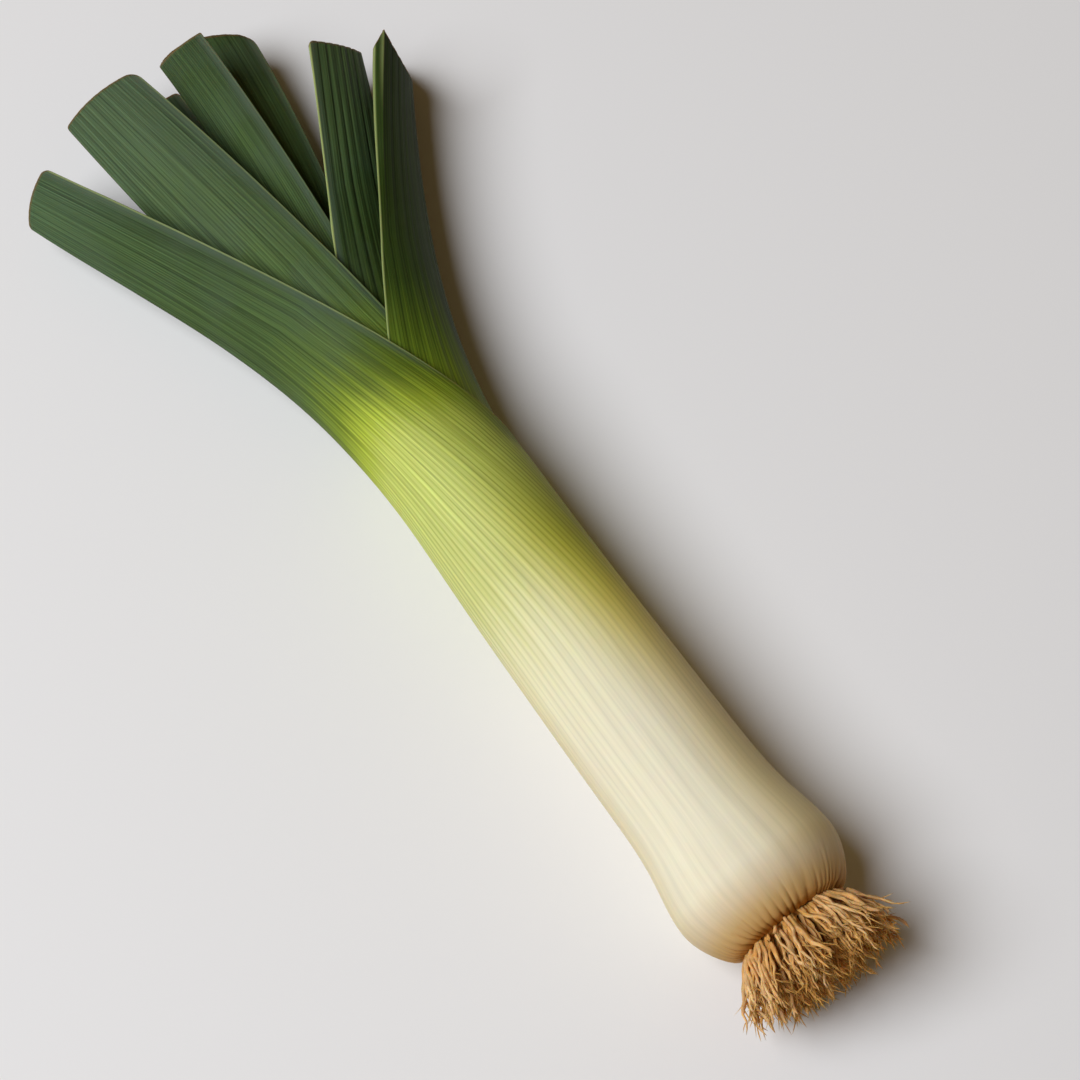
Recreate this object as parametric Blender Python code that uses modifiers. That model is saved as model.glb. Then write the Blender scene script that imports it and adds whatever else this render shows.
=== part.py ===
"""A trimmed leek lying on a surface: a solid white shaft whose outermost sheath runs on into a leaf, four more
folded leaves that come out of its throat in two ranks, a root plate and its beard of roots.

Lengths are in millimetres until the last step of each piece, which scales it to metres. While a piece is drawn,
X runs along the shaft from the root end (0) to the leaf tips, Y points to the left rank of leaves, and Z is up
from the shaft's axis."""

import math

import bmesh
import bpy
import numpy as np
from mathutils import Matrix, Vector

MM = 0.001

# Shaft
BULB_RADIUS = 24.4  # the widest place, which rests on the surface
BULB_AT = 16.0  # how far the widest place is from the root end
ROOT_RING_RADIUS = 15.0
SHAFT_RADIUS_LOW = 21.6  # the straight taper that the bulb swells out of
SHAFT_RADIUS_NECK = 19.1
NECK_AT = 150.0
BULB_LENGTH = 15.0
THROAT_FLOOR = 138.0  # the shaft is solid up to here, and holds the inner sheaths above it
SHAFT_CORE_ROWS = 18
AXIS_OFFSET = 0.5  # the shaft's axis lies this far to the left of the drawing's X axis
BOW = 0.8  # and bows this much further in its middle
SEAT_DEPTH = 1.4  # the root plate sits this far inside the root end
ROW_CROWDING = 1.2  # rows of faces lie closer together towards the root end, where the outline turns in

# Leaves
WALL = 1.3
GAP = 0.8  # between one sheath and the next
NECK_SLACK = 0.2  # extra room between the shaft's wall and the first sheath inside it
TIP_BOW = 1.3  # each half's cut end is this much longer in its middle than at its two corners
HALF_COLUMNS = 8  # faces from the keel to a margin
ROWS = 20
CURVE_STEPS = 80
CREASE = math.radians(50)  # faces that meet at more than this are shaded as an edge

# Root plate and roots
PLATE_RADIUS = 13.0
PLATE_TAPER = 1.5  # its outer face is this much smaller in radius
PLATE_RIM = 1.8  # no root starts this near its edge
PLATE_THICKNESS = 2.4
ROOTS = 36
ROOT_RADIUS = 0.85
ROOT_LENGTH = 25.0
ROOT_POINTS = 6
ROOT_STUB = 1.5  # a root leaves the plate squarely for this far
ROOT_TIP = 0.4  # of its radius
ROOT_TURN = math.radians(137.5)  # from one root to the next round the plate, as in a sunflower's head
ROOT_LEANS = (26, 42, 58)  # degrees that the outermost roots lean outwards, after each step from the plate
ROOT_WAVE = 0.12
CLEARANCE = 0.3

# Where the drawing's X = 0, axis line goes, so that the whole leek is centred on the origin and rests on Z = 0
CENTRE_X = 141.5
CENTRE_Y = -4.5

GREEN = (0.075, 0.13, 0.05)

# One entry a leaf, outermost first. Each edge is a smooth curve that leaves the sheath at the mouth: the keel from
# the leaf's own side, both margins from the opposite side. Its two handles and its end are (x, y, z).
LEAVES = {
    "shaft_with_outer_leaf": dict(
        side=1,
        layer=0,
        base=0.0,
        mouth=NECK_AT,
        keel=((205, 18.5, 0), (240, 37.5, -5), (291, 55, -9)),
        front=((163, -17, 33), (243, 18.5, 14), (296, 44.3, 8.5)),
        back=((163, -17, -36), (243, 18.5, -16), (294, 38, -24.3)),
        tip_arc=14,
        folded_at=1.0,
        rows=34,
        colour=(0.72, 0.74, 0.45),
    ),
    "leaf_right_outer": dict(
        side=-1,
        layer=1,
        base=THROAT_FLOOR + 1,
        mouth=152.0,
        keel=((178, -20, -1), (208, -25.5, -4), (269, -62, -8)),
        front=((162, 14.5, 29), (222, -17, 11.4), (275, -56.5, 14)),
        back=((162, 15, -30), (222, -17, -10), (284, -62, -24.3)),
        tip_arc=22,
        folded_at=1.0,
        rows=ROWS,
        colour=GREEN,
    ),
    "leaf_left_middle": dict(
        side=1,
        layer=2,
        base=THROAT_FLOOR + 1,
        mouth=168.0,
        keel=((195, 15.5, 0), (235, 25, 3), (307, 31, 1)),
        front=((180, -11, 21), (252, -4, 13), (305.7, 7.6, 12)),
        back=((180, -12, -22), (252, -4, -14), (309, -3, -15)),
        tip_arc=14,
        folded_at=0.65,
        rows=ROWS,
        colour=GREEN,
    ),
    "leaf_right_inner": dict(
        side=-1,
        layer=3,
        base=THROAT_FLOOR + 1,
        mouth=178.0,
        keel=((200, -14, 0), (238, -36, -2), (281.3, -53, -4)),
        front=((192, 11.5, 22), (238, -14, 5), (282.5, -37.3, 14)),
        back=((192, 11.5, -21.5), (240, -15, -5), (284, -43, -18)),
        tip_arc=18,
        folded_at=0.65,
        rows=ROWS,
        colour=GREEN,
    ),
    "leaf_left_heart": dict(
        side=1,
        layer=4,
        base=THROAT_FLOOR + 1,
        mouth=186.0,
        keel=((212, 8, 0), (265, -2, 1), (309, -1.6, 0)),
        front=((205, -7.5, 12.5), (250, -16.5, 5), (301.5, -13.8, 17.5)),
        back=((205, -9, -13), (250, -25, -5), (307, -30.3, -7)),
        tip_arc=16,
        folded_at=0.65,
        rows=ROWS,
        colour=GREEN,
    ),
}
HEART_CORE_END = 184.0  # the innermost leaf is solid up to here


def fresh_scene():
    for obj in list(bpy.data.objects):
        bpy.data.objects.remove(obj, do_unlink=True)


def new_collection(name):
    made = bpy.data.collections.new(name)
    bpy.context.scene.collection.children.link(made)
    return made


def material(name, colour, roughness):
    made = bpy.data.materials.new(name)
    made.use_nodes = True
    shader = made.node_tree.nodes["Principled BSDF"]
    shader.inputs["Base Color"].default_value = (*colour, 1)
    shader.inputs["Roughness"].default_value = roughness
    shader.inputs["Metallic"].default_value = 0
    return made


def place(bm):
    """From the drawing's millimetres to metres, resting on the surface."""
    move = Matrix.Translation((-CENTRE_X, -CENTRE_Y, BULB_RADIUS))
    bmesh.ops.transform(bm, matrix=Matrix.Scale(MM, 4) @ move, verts=bm.verts)


def new_object(name, bm, finish, collection):
    mesh = bpy.data.meshes.new(name)
    bm.to_mesh(mesh)
    bm.free()
    mesh.materials.append(finish)
    mesh.shade_smooth()
    mesh.set_sharp_from_angle(angle=CREASE)
    made = bpy.data.objects.new(name, mesh)
    collection.objects.link(made)
    return made


def smoothstep(value):
    value = min(max(value, 0.0), 1.0)
    return value * value * (3 - 2 * value)


def taper_radius(x):
    return SHAFT_RADIUS_LOW + (SHAFT_RADIUS_NECK - SHAFT_RADIUS_LOW) * min(x / NECK_AT, 1)


def shaft_radius(x):
    """The shaft's outline: a straight taper, the bulb's swelling, and a quarter ellipse that turns in at the root."""
    swelling = BULB_RADIUS - taper_radius(BULB_AT)
    radius = taper_radius(x) + swelling * math.exp(-(((x - BULB_AT) / BULB_LENGTH) ** 2))
    if x < BULB_AT:
        turn = math.sqrt(max(0.0, 1 - (1 - x / BULB_AT) ** 2))
        radius = ROOT_RING_RADIUS + (radius - ROOT_RING_RADIUS) * turn
    return radius


def axis_y(x):
    """The shaft is nearly straight: its axis bows slightly to the left between the root end and the neck."""
    return AXIS_OFFSET + BOW * math.sin(math.pi * min(x / NECK_AT, 1))


def sheath_radius(leaf, x):
    """The outer leaf's sheath is the shaft's own surface. Each later layer is a narrower tube inside the last."""
    if leaf["layer"] == 0:
        return shaft_radius(x)
    return SHAFT_RADIUS_NECK - NECK_SLACK - leaf["layer"] * (WALL + GAP)


def bezier(start, handles):
    """Points along the smooth curve from start, with these two handles and this end."""
    a, b, c, d = (np.array(p, float) for p in (start, *handles))
    t = np.linspace(0, 1, CURVE_STEPS)[:, None]
    return (1 - t) ** 3 * a + 3 * (1 - t) ** 2 * t * b + 3 * (1 - t) * t**2 * c + t**3 * d


def edge_curves(leaf):
    """The keel's curve and both margins', each from the mouth to the tip."""
    side, mouth = leaf["side"], leaf["mouth"]
    radius = sheath_radius(leaf, mouth)
    near, far = ((mouth, axis_y(mouth) + way * side * radius, 0) for way in (1, -1))
    return {
        "keel": bezier(near, leaf["keel"]),
        "front": bezier(far, leaf["front"]),
        "back": bezier(far, leaf["back"]),
    }


def edge_point(leaf, curves, edge, x):
    """The edge's point where the keel is at this x. Below the mouth it lies on the closed sheath."""
    side, mouth = leaf["side"], leaf["mouth"]
    if x <= mouth:
        way = side if edge == "keel" else -side
        return Vector((x, axis_y(x) + way * sheath_radius(leaf, x), 0))
    curve = curves[edge]
    along = (x - mouth) / (leaf["keel"][2][0] - mouth)
    reach = leaf[edge][2][0] - leaf["keel"][2][0]
    x_here = min(x + reach * smoothstep(along), leaf[edge][2][0])
    y, z = (float(np.interp(x_here, curve[:, 0], curve[:, axis])) for axis in (1, 2))
    return Vector((x_here, y, z))


def half_point(leaf, keel, margin, half, across, along):
    """A point of one half: an arc from the keel (0) to the margin (1), a half circle in the sheath, nearly flat at
    the tip."""
    chord = margin - keel
    side = leaf["side"]
    tilt = math.atan2(half * chord.z, -side * chord.y)
    tangent = math.pi / 2 - tilt
    arc = tangent + (math.radians(leaf["tip_arc"]) - tangent) * smoothstep(along / leaf["folded_at"])
    turn = (2 * across - 1) * arc
    forward = (math.sin(arc) + math.sin(turn)) / (2 * math.sin(arc))
    out = (math.cos(turn) - math.cos(arc)) / (2 * math.sin(arc))
    outward = Vector((0, chord.z, -chord.y)) * (side * half)
    bow = Vector((TIP_BOW * 4 * across * (1 - across) * max(along, 0) ** 6, 0, 0))
    return keel + chord * forward + outward * out + bow


def leaf_sheet(leaf):
    """The leaf's outer surface: a closed sheath below the mouth, and two halves that open from it above."""
    curves = edge_curves(leaf)
    base, tip, mouth = leaf["base"], leaf["keel"][2][0], leaf["mouth"]
    bm = bmesh.new()
    bmesh.ops.create_grid(bm, x_segments=leaf["rows"], y_segments=2 * HALF_COLUMNS, size=1)
    for vert in bm.verts:
        progress = (vert.co.x + 1) / 2
        x = base + (tip - base) * (progress**ROW_CROWDING if base == 0 else progress)
        half = 1 if vert.co.y >= 0 else -1
        keel = edge_point(leaf, curves, "keel", x)
        margin = edge_point(leaf, curves, "front" if half > 0 else "back", x)
        vert.co = half_point(leaf, keel, margin, half, abs(vert.co.y), (x - mouth) / (tip - mouth))
    bmesh.ops.remove_doubles(bm, verts=bm.verts, dist=1e-4)
    # A quad twisted by the opening mouth is split along its short diagonal, which keeps it clear of the next leaf
    bmesh.ops.triangulate(bm, faces=bm.faces, quad_method="SHORT_EDGE")
    if leaf["side"] > 0:
        bmesh.ops.reverse_faces(bm, faces=bm.faces)
    return bm


def turned_core(radius_at, start, end, rows):
    """A solid of round sections along X, closed at both ends, in line with the sheath's own facets."""
    bm = bmesh.new()
    bmesh.ops.create_grid(bm, x_segments=rows, y_segments=2 * HALF_COLUMNS, size=1)
    for vert in bm.verts:
        x = start + (end - start) * ((vert.co.x + 1) / 2) ** ROW_CROWDING
        angle = math.pi * vert.co.y
        vert.co = (x, axis_y(x) + radius_at(x) * math.cos(angle), radius_at(x) * math.sin(angle))
    bmesh.ops.remove_doubles(bm, verts=bm.verts, dist=1e-4)
    bmesh.ops.holes_fill(bm, edges=[edge for edge in bm.edges if edge.is_boundary])
    bmesh.ops.recalc_face_normals(bm, faces=bm.faces)
    return bm


def make_leaf(name, leaf, finish, parts):
    bm = leaf_sheet(leaf)
    place(bm)
    made = new_object(name, bm, finish, parts)
    wall = made.modifiers.new("wall", "SOLIDIFY")
    wall.thickness = WALL * MM
    wall.offset = -1
    return made


def fill_with_core(made, core, finish, helpers):
    """Joins a solid core to the inside of a leaf's sheath."""
    place(core)
    filler = new_object(made.name + "_core", core, finish, helpers)
    filler.hide_render = True
    filler.display_type = "WIRE"
    join = made.modifiers.new("core", "BOOLEAN")
    join.operation = "UNION"
    join.solver = "EXACT"
    join.object = filler


def make_root_plate(finish, parts):
    bm = bmesh.new()
    bmesh.ops.create_cone(
        bm,
        cap_ends=True,
        segments=24,
        radius1=PLATE_RADIUS,
        radius2=PLATE_RADIUS - PLATE_TAPER,
        depth=PLATE_THICKNESS,
    )
    middle = SEAT_DEPTH - CLEARANCE - PLATE_THICKNESS / 2
    turn = Matrix.Translation((middle, AXIS_OFFSET, 0)) @ Matrix.Rotation(-math.pi / 2, 4, "Y")
    bmesh.ops.transform(bm, matrix=turn, verts=bm.verts)
    place(bm)
    return new_object("root_plate", bm, finish, parts)


def root_route(index):
    """One root's points: from its place on the plate it leaves along the axis, and flares out with a slight wave."""
    share = math.sqrt((index + 0.5) / ROOTS)
    angle = index * ROOT_TURN
    start = SEAT_DEPTH - PLATE_THICKNESS - 2 * CLEARANCE
    outward = Vector((0, math.cos(angle), math.sin(angle)))
    across = Vector((0, -math.sin(angle), math.cos(angle)))
    length = ROOT_LENGTH * (0.86 + 0.14 * math.cos(2.4 * index))
    point = Vector((start, AXIS_OFFSET, 0)) + outward * (PLATE_RADIUS - PLATE_RIM - ROOT_RADIUS) * share
    points = [point.copy(), point - Vector((ROOT_STUB, 0, 0))]
    point = points[1].copy()
    step = (length - ROOT_STUB) / (ROOT_POINTS - 2)
    for number in range(2, ROOT_POINTS):
        lean = math.radians(ROOT_LEANS[min(number - 1, len(ROOT_LEANS) - 1)]) * share
        wave = ROOT_WAVE * math.sin(1.9 * number + index)
        heading = Vector((-math.cos(lean), 0, 0)) + outward * math.sin(lean) + across * wave
        point = point + heading.normalized() * step
        points.append(point.copy())
    return points


def make_root(index, finish, parts):
    curve = bpy.data.curves.new(f"root_{index + 1:02d}", "CURVE")
    curve.dimensions = "3D"
    curve.bevel_depth = ROOT_RADIUS * MM
    curve.bevel_resolution = 1
    curve.use_fill_caps = True
    points = root_route(index)
    spline = curve.splines.new("POLY")
    spline.points.add(len(points) - 1)
    for number, (target, point) in enumerate(zip(spline.points, points)):
        x, y, z = (point + Vector((-CENTRE_X, -CENTRE_Y, BULB_RADIUS))) * MM
        target.co = (x, y, z, 1)
        target.radius = 1 - (1 - ROOT_TIP) * number / (len(points) - 1)
    curve.materials.append(finish)
    made = bpy.data.objects.new(curve.name, curve)
    parts.objects.link(made)
    return made


def main():
    fresh_scene()
    parts = new_collection("leek")
    helpers = new_collection("leek_helpers")
    for name, leaf in LEAVES.items():
        finish = material(name, leaf["colour"], 0.45)
        made = make_leaf(name, leaf, finish, parts)
        buried = WALL / 2  # a core's surface runs along the middle of the wall it fills
        if leaf["base"] == 0:
            core = turned_core(lambda x: shaft_radius(x) - buried, SEAT_DEPTH, THROAT_FLOOR, SHAFT_CORE_ROWS)
            fill_with_core(made, core, finish, helpers)
        if name == "leaf_left_heart":
            inner = sheath_radius(leaf, leaf["base"]) - buried
            core = turned_core(lambda x: inner, leaf["base"] + 0.5, HEART_CORE_END, 3)
            fill_with_core(made, core, finish, helpers)
    root_finish = material("root", (0.42, 0.27, 0.11), 0.7)
    make_root_plate(root_finish, parts)
    for index in range(ROOTS):
        make_root(index, root_finish, parts)


main()
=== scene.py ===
# %% [markdown]
# # A leek, lying on its side
#
# A leek is a bundle of leaves. Each leaf starts as a closed tube, its sheath, and the sheaths packed one
# inside the next make the white shaft. Above the neck each sheath splits open down one side, folds along
# its keel and becomes a flat green blade. The blades leave alternately to the left and to the right.
#
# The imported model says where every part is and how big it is. This script gives each part its finished
# surface: the veins and folds as real shape, and the colour as materials that follow each leaf from its
# root to its cut end.

# %% Load the frame
import math

import bmesh
import bpy
from mathutils import Matrix, Vector, noise


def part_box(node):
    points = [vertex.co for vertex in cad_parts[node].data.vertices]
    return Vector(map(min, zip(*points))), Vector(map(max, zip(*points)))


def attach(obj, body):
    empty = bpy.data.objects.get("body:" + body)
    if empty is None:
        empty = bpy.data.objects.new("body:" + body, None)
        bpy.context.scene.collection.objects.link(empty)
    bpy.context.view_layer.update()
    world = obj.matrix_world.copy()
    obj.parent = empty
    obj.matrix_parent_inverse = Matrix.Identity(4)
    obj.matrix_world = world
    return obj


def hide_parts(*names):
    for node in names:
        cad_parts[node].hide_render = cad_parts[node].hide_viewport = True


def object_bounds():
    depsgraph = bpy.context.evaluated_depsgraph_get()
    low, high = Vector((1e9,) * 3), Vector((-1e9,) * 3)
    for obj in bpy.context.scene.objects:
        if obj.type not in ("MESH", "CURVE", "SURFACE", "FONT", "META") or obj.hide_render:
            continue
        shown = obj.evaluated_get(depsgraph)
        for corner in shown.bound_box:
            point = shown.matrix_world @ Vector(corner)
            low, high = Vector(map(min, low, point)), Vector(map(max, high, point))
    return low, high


noise.seed_set(3)  # without a seed, noise_vector differs from one run to the next
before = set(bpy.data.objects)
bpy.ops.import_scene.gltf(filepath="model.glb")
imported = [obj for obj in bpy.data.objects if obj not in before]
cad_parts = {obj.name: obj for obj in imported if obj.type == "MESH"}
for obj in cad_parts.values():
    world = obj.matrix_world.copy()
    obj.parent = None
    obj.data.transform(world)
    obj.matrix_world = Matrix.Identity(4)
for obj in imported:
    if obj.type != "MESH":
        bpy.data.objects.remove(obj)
cad_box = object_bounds()
rounded = [tuple(round(n, 4) for n in corner) for corner in cad_box]
print("nodes:", len(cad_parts), "box:", rounded)

# %% [markdown]
# ## The drawing's own axes
#
# The leek is easier to draw in its own millimetres than in the frame's metres. In the drawing, X runs
# along the shaft from the root end, Y points to the left rank of leaves, and Z is up from the shaft's
# axis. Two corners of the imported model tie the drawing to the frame: where the shaft begins, and the
# middle of the root plate.

# %% The drawing's own axes
MM = 0.001
AXIS_OFFSET = 0.5  # the root plate's middle lies this far to the left of the drawing's X axis
shaft_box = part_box("shaft_with_outer_leaf")
plate_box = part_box("root_plate")
plate_middle = (plate_box[0] + plate_box[1]) / 2
drawing_to_frame = (
    Matrix.Translation((shaft_box[0].x, plate_middle.y - AXIS_OFFSET * MM, plate_middle.z))
    @ Matrix.Scale(MM, 4)
)
FLOOR_Z = cad_box[0].z
axis_height = plate_middle.z - FLOOR_Z
print("root end at x =", round(shaft_box[0].x, 4), "m, axis", round(axis_height, 4), "m above the floor")

# %% [markdown]
# ## The camera, the light and the floor
#
# The leek lies on a plain pale floor and the camera looks steeply down on it, with a long lens, so that
# the shaft keeps the same thickness from end to end. One large soft light stands beyond the left rank of
# leaves. It is big and near, because a shaft this smooth would show a small light as a hard stripe. It is
# a little cool and the weak even sky that fills the shade is warm, so the shaded side of the white shaft
# turns tan instead of grey.

# %% Camera
VIEW_AZIMUTH = math.radians(-125)
VIEW_ELEVATION = math.radians(68.5)
VIEW_DISTANCE = 986.3  # mm
VIEW_TARGET = (128.0, -8.5, -4.65)  # of the drawing: between the neck and the bulb, a little below the axis

towards_camera = Vector(
    (
        math.sin(VIEW_AZIMUTH) * math.cos(VIEW_ELEVATION),
        -math.cos(VIEW_AZIMUTH) * math.cos(VIEW_ELEVATION),
        math.sin(VIEW_ELEVATION),
    )
)
camera = bpy.data.objects.new("camera", bpy.data.cameras.new("camera"))
camera.data.lens = 120
camera.data.sensor_width = 36
camera.location = drawing_to_frame @ Vector(VIEW_TARGET) + towards_camera * VIEW_DISTANCE * MM
camera.rotation_euler = (-towards_camera).to_track_quat("-Z", "Y").to_euler()
bpy.context.scene.collection.objects.link(camera)
bpy.context.scene.camera = camera
print("camera at", [round(n, 3) for n in camera.location])

# %% Light
KEY_DIRECTION = Vector((0.12, 0.53, 0.84))  # from the leek to the light
KEY_DISTANCE = 2.4  # m
KEY_SIZE = 1.7
KEY_WATTS = 64
KEY_COLOUR = (0.92, 0.97, 1.12)
SKY_COLOUR = (1, 0.68, 0.33, 1)
SKY_STRENGTH = 0.10

key = bpy.data.objects.new("key", bpy.data.lights.new("key", "AREA"))
key.data.shape = "DISK"
key.data.size = KEY_SIZE
key.data.energy = KEY_WATTS
key.data.color = KEY_COLOUR
key.location = KEY_DIRECTION.normalized() * KEY_DISTANCE
key.rotation_euler = (-KEY_DIRECTION).to_track_quat("-Z", "Y").to_euler()
bpy.context.scene.collection.objects.link(key)

world = bpy.data.worlds.new("sky")
world.use_nodes = True
background = world.node_tree.nodes["Background"]
background.inputs["Color"].default_value = SKY_COLOUR
background.inputs["Strength"].default_value = SKY_STRENGTH
bpy.context.scene.world = world
bpy.context.scene.view_settings.view_transform = "Standard"
print("light:", KEY_WATTS, "W from", [round(n, 2) for n in key.location])

# %% Floor
FLOOR_HALF = 3.0  # m
FLOOR_COLOUR = (0.80, 0.775, 0.70, 1)
floor_mesh = bpy.data.meshes.new("floor")
bm = bmesh.new()
bmesh.ops.create_grid(bm, x_segments=1, y_segments=1, size=FLOOR_HALF)
bmesh.ops.translate(bm, verts=bm.verts, vec=(0, 0, FLOOR_Z))
bm.to_mesh(floor_mesh)
bm.free()
floor = bpy.data.objects.new("floor", floor_mesh)
bpy.context.scene.collection.objects.link(floor)
floor_finish = bpy.data.materials.new("floor")
floor_finish.use_nodes = True
floor_shader = floor_finish.node_tree.nodes["Principled BSDF"]
floor_shader.inputs["Base Color"].default_value = FLOOR_COLOUR
floor_shader.inputs["Roughness"].default_value = 0.9
floor_mesh.materials.append(floor_finish)
print("floor:", 2 * FLOOR_HALF, "m square")

# %% [markdown]
# ## The shaft's outline
#
# The shaft is nearly a cylinder. It tapers a little towards the neck, swells into a bulb near the roots,
# and turns in at the root end on a quarter of an ellipse. Its axis is straight but for a bow of less than
# a millimetre.

# %% The shaft's outline
BULB_RADIUS = 24.4
BULB_AT = 16.0
BULB_LENGTH = 15.0
ROOT_RING_RADIUS = 15.0
SHAFT_RADIUS_LOW = 21.6
SHAFT_RADIUS_NECK = 19.1
NECK_AT = 150.0
BOW = 0.8


def smoothstep(value):
    value = min(max(value, 0.0), 1.0)
    return value * value * (3 - 2 * value)


def taper_radius(x):
    return SHAFT_RADIUS_LOW + (SHAFT_RADIUS_NECK - SHAFT_RADIUS_LOW) * min(x / NECK_AT, 1)


def shaft_radius(x):
    swelling = BULB_RADIUS - taper_radius(BULB_AT)
    radius = taper_radius(x) + swelling * math.exp(-(((x - BULB_AT) / BULB_LENGTH) ** 2))
    if x < BULB_AT:
        turn = math.sqrt(max(0.0, 1 - (1 - x / BULB_AT) ** 2))
        radius = ROOT_RING_RADIUS + (radius - ROOT_RING_RADIUS) * turn
    return radius


def axis_y(x):
    return AXIS_OFFSET + BOW * math.sin(math.pi * min(max(x, 0) / NECK_AT, 1))


print("shaft:", 2 * shaft_radius(BULB_AT), "mm at the bulb,", 2 * shaft_radius(NECK_AT), "mm at the neck")

# %% [markdown]
# ## The five leaves, as three curves each
#
# A folded leaf is settled by three lines: its keel, along the fold, and its two margins. Each is one
# smooth Bezier curve that leaves the closed sheath at the mouth. The leaves are listed from the outermost
# in, and each one's sheath is a narrower tube inside the last. side is 1 for the left rank of leaves and
# -1 for the right.
#
# The rest says how the leaves differ:
#
# - tip_arc is how round a half still is at the cut end, and folded_at is how far up the blade it gets
#   that flat.
# - veins, and the shallower pleats, are counted across one half. The inner leaves, which unrolled last,
#   still carry the folds of the bundle.
# - bow says how far the knife left the front and the back half standing out, in mm, and corners says how
#   round the keel, the front margin and the back margin are there. curl bends the front margin over.
# - pale_edge, pleat_shade and bloom are shares of colour: of the pale line along a margin, of the painted
#   shade in the grooves between pleats, with painted light on their crests, and of the dust on the blade.
#   back_painted_light is how much lighter the back half is painted near the tip: painted light where the
#   front half shades it.
# - green_pull is how many mm sooner the keel and the margins turn green than the middle of a half.

# %% The five leaves, as three curves each
WALL = 1.1
LAYER_STEP = 2.1  # from one sheath's skin to the next one's
NECK_SLACK = 0.2
HIDDEN_BASE = 139.0  # inner sheaths start this far up, inside the shaft

INNER_LEAF = dict(
    base=HIDDEN_BASE,
    folded_at=0.65,
    rows=84,
    half_columns=112,
    curl=0.0,
    green_pull=(10, 10),
    back_painted_light=1.0,
)
LEAVES = {
    "shaft_with_outer_leaf": dict(
        side=1,
        layer=0,
        base=0.0,
        mouth=NECK_AT,
        keel=((205, 18.5, 0), (240, 37.5, -5), (291, 55, -9)),
        front=((163, -17, 33), (243, 18.5, 14), (296, 44.3, 8.5)),
        back=((163, -17, -36), (243, 18.5, -16), (294, 38, -24.3)),
        tip_arc=14,
        folded_at=1.0,
        rows=110,
        half_columns=180,
        veins=32,
        vein_height=0.035,
        pleats=9,
        pleat_height=0.12,
        bow=(0.8, 1.0),
        corners=(1.4, 2.2, 2.2),
        curl=0.0,
        pale_edge=0.45,
        pleat_shade=0.2,
        green_pull=(9, 6),
        back_painted_light=1.0,
        bloom=0.3,
    ),
    "leaf_right_outer": dict(
        INNER_LEAF,
        side=-1,
        layer=1,
        mouth=152.0,
        keel=((178, -20, -1), (208, -25.5, -4), (267.2, -60.9, -8)),
        front=((162, 14.5, 29), (222, -17, 11.4), (278.2, -58, 14)),
        back=((162, 15, -30), (222, -17, -10), (284, -62, -24.3)),
        tip_arc=22,
        folded_at=1.0,
        veins=28,
        vein_height=0.05,
        pleats=8,
        pleat_height=0.2,
        bow=(-5.0, 0.6),
        corners=(1.6, 0.3, 1.5),
        curl=1.0,
        pale_edge=0.7,
        pleat_shade=0.22,
        green_pull=(20, 0),
        bloom=0.05,
    ),
    "leaf_left_middle": dict(
        INNER_LEAF,
        side=1,
        layer=2,
        mouth=168.0,
        keel=((195, 15.5, 0), (235, 25, 3), (307, 31, 1)),
        front=((180, -11, 21), (252, -4, 13), (305.7, 7.6, 12)),
        back=((180, -12, -22), (254, -5.5, -14), (306.8, -4.8, -15)),
        tip_arc=14,
        veins=30,
        vein_height=0.045,
        pleats=9,
        pleat_height=0.14,
        bow=(1.3, -2.0),
        corners=(1.2, 3.0, 2.0),
        pale_edge=0.3,
        pleat_shade=0.14,
        bloom=0.3,
    ),
    "leaf_right_inner": dict(
        INNER_LEAF,
        side=-1,
        layer=3,
        mouth=178.0,
        keel=((200, -14, 0), (238, -36, -2), (281.3, -53, -4)),
        front=((192, 11.5, 22), (238, -14, 5), (284.6, -38, 14)),
        back=((192, 11.5, -21.5), (240, -15, -5), (284, -43, -18)),
        tip_arc=18,
        veins=24,
        vein_height=0.05,
        pleats=8,
        pleat_height=0.45,
        bow=(-0.9, 0.5),
        corners=(1.0, 1.6, 1.4),
        pale_edge=0.9,
        pleat_shade=0.5,
        bloom=0.15,
    ),
    "leaf_left_heart": dict(
        INNER_LEAF,
        side=1,
        layer=4,
        mouth=186.0,
        keel=((212, 8, 0), (265, -2, 1), (309, -1.6, 0)),
        front=((205, -7.5, 12.5), (250, -16.5, 5), (302.6, -13.2, 17.5)),
        back=((205, -9, -13), (250, -25, -5), (305.2, -30.6, -7)),
        tip_arc=16,
        veins=27,
        vein_height=0.045,
        pleats=9,
        pleat_height=0.17,
        bow=(0.3, 6.0),
        corners=(0.5, 0.3, 3.0),
        pale_edge=0.1,
        pleat_shade=0.16,
        back_painted_light=1.8,
        bloom=0.25,
    ),
}
print("leaves, outermost first:", ", ".join(LEAVES))

# %% The curves that a leaf is drawn between

def sheath_radius(leaf, x):
    if leaf["layer"] == 0:
        return shaft_radius(x)
    return SHAFT_RADIUS_NECK - NECK_SLACK - leaf["layer"] * LAYER_STEP


def bezier(start, handles, steps=200):
    a, b, c, d = (Vector(p) for p in (start, *handles))
    points = []
    for step in range(steps + 1):
        t = step / steps
        points.append((1 - t) ** 3 * a + 3 * (1 - t) ** 2 * t * b + 3 * (1 - t) * t * t * c + t**3 * d)
    return points


def point_at_x(points, x):
    """The curve's point at this x, between the two points that it falls between."""
    for before, after in zip(points, points[1:]):
        if x <= after.x:
            share = min(max((x - before.x) / (after.x - before.x), 0), 1)
            return before.lerp(after, share)
    return points[-1].copy()


def edge_curves(leaf):
    side, mouth = leaf["side"], leaf["mouth"]
    radius = sheath_radius(leaf, mouth)
    near, far = ((mouth, axis_y(mouth) + way * side * radius, 0) for way in (1, -1))
    starts = {"keel": near, "front": far, "back": far}
    return {edge: bezier(start, leaf[edge]) for edge, start in starts.items()}


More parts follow.
